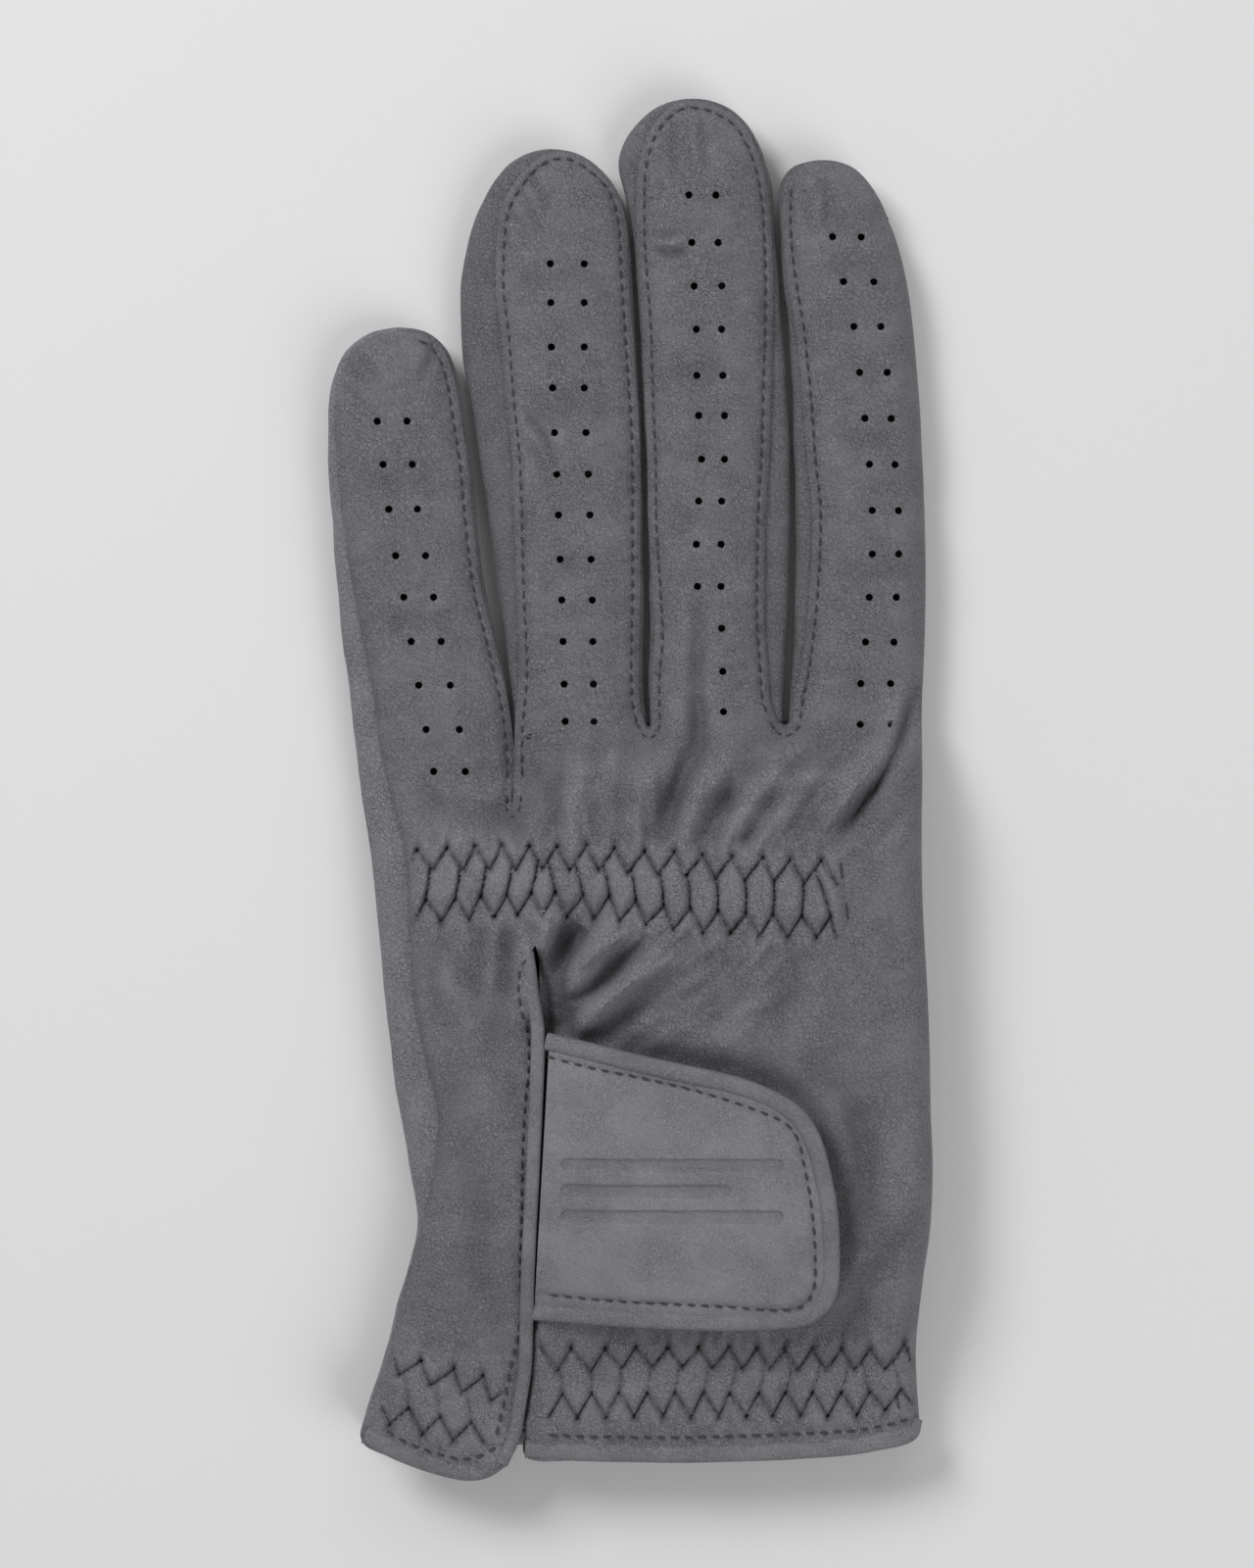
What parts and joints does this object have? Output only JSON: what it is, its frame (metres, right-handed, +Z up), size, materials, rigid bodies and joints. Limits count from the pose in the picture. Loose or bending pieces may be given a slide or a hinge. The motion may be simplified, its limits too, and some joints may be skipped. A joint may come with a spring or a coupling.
{
  "type": "golf glove",
  "caption": "Left-hand leather golf glove lying palm down, with perforated fingers, gathered knuckle and cuff bands and a hook-and-loop closure tab.",
  "frame": {"origin": "under the middle of the glove's bounding box, on the plane that it lies on", "axes": "+X towards the index finger's side, +Y towards the fingertips, +Z up out of the back of the hand"},
  "size_m": [0.1056, 0.2396, 0.0227],
  "materials": {
    "leather": "fine-grained soft grey leather",
    "binding": "smooth folded leather tape",
    "lining": "matt knitted backing",
    "elastic": "woven elastic and sewing thread",
    "fastener": "hook-and-loop pile"
  },
  "bodies": {
    "hand": {"back_panel": "leather", "palm_panel": "leather", "radial_fold": "leather", "ulnar_side": "leather", "web_pinky_ring": "leather", "web_ring_middle": "leather", "web_middle_index": "leather", "knuckle_elastic": "elastic", "cuff_elastic": "elastic", "cuff_binding_back": "binding", "cuff_binding_palm": "binding", "loop_patch": "fastener"},
    "cuff_flap": {"flap_panel": "leather", "flap_elastic": "elastic", "flap_hem_binding": "binding", "slit_binding": "binding"},
    "closure_tab": {"tab_cover": "leather", "tab_backing": "lining", "tab_binding": "binding", "tab_hook_patch": "fastener"},
    "thumb": {"thumb_upper_panel": "leather", "thumb_lower_panel": "leather", "thumb_side_band": "leather"},
    "pinky": {"pinky_back_panel": "leather", "pinky_palm_panel": "leather", "pinky_outer_side": "leather", "pinky_inner_fourchette": "leather"},
    "ring": {"ring_back_panel": "leather", "ring_palm_panel": "leather", "ring_outer_fourchette": "leather", "ring_inner_fourchette": "leather"},
    "middle": {"middle_back_panel": "leather", "middle_palm_panel": "leather", "middle_outer_fourchette": "leather", "middle_inner_fourchette": "leather"},
    "index": {"index_back_panel": "leather", "index_palm_panel": "leather", "index_outer_fourchette": "leather", "index_outer_fold": "leather"}
  },
  "joints": [
    {"name": "pinky_flexion", "type": "hinge", "parent": "hand", "child": "pinky", "pos_m": [-0.0334, 0.0024, 0], "axis": [-0.9921, -0.1253, 0], "range_deg": [0, 90]},
    {"name": "ring_flexion", "type": "hinge", "parent": "hand", "child": "ring", "pos_m": [-0.0082, 0.018, 0], "axis": [-0.9984, -0.0558, 0], "range_deg": [0, 90]},
    {"name": "middle_flexion", "type": "hinge", "parent": "hand", "child": "middle", "pos_m": [0.0164, 0.0185, 0], "axis": [-0.998, -0.0628, 0], "range_deg": [0, 90]},
    {"name": "index_flexion", "type": "hinge", "parent": "hand", "child": "index", "pos_m": [0.0412, 0.0175, 0], "axis": [-0.998, -0.0628, 0], "range_deg": [0, 90]},
    {"name": "flap_fold", "type": "hinge", "parent": "hand", "child": "cuff_flap", "pos_m": [-0.0154, -0.025, 0.01845], "axis": [-0.3151, -0.9453, -0.0842], "range_deg": [0, 45]},
    {"name": "tab_fold", "type": "hinge", "parent": "cuff_flap", "child": "closure_tab", "pos_m": [-0.0152, -0.067, 0.02235], "axis": [0, -1, 0], "range_deg": [0, 140]},
    {"name": "thumb_swing", "type": "hinge", "parent": "hand", "child": "thumb", "pos_m": [0.031, -0.06, 0.0037], "axis": [0, 0, -1], "range_deg": [0, 70]}
  ]
}
